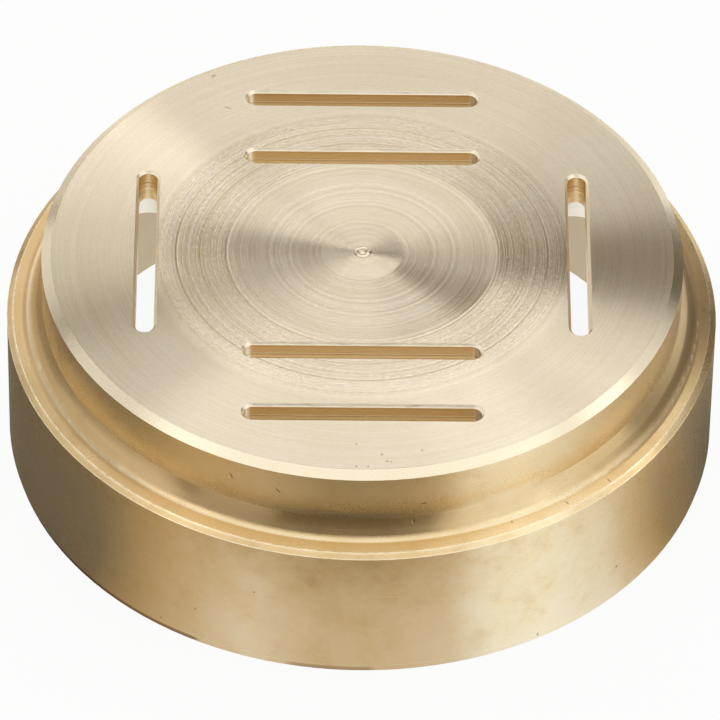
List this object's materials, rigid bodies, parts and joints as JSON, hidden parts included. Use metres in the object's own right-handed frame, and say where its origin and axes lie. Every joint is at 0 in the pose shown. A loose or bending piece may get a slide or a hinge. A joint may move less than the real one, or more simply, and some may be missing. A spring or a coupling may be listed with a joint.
{
  "type": "pasta extrusion die",
  "caption": "Round turned brass pasta die with a stepped neck, a dough cavity open at the base and round-ended ribbon slots through its face.",
  "frame": {"origin": "centre of the open rim, on the plane that the die rests on", "axes": "+Z along the turning axis and out of the extrusion face, +X along the crosswise slots, +Y along the side slots"},
  "size_m": [0.051, 0.051, 0.0168],
  "materials": {
    "turned_brass": "fine turned, satin"
  },
  "bodies": {
    "root": {"die": "turned_brass"}
  },
  "joints": []
}
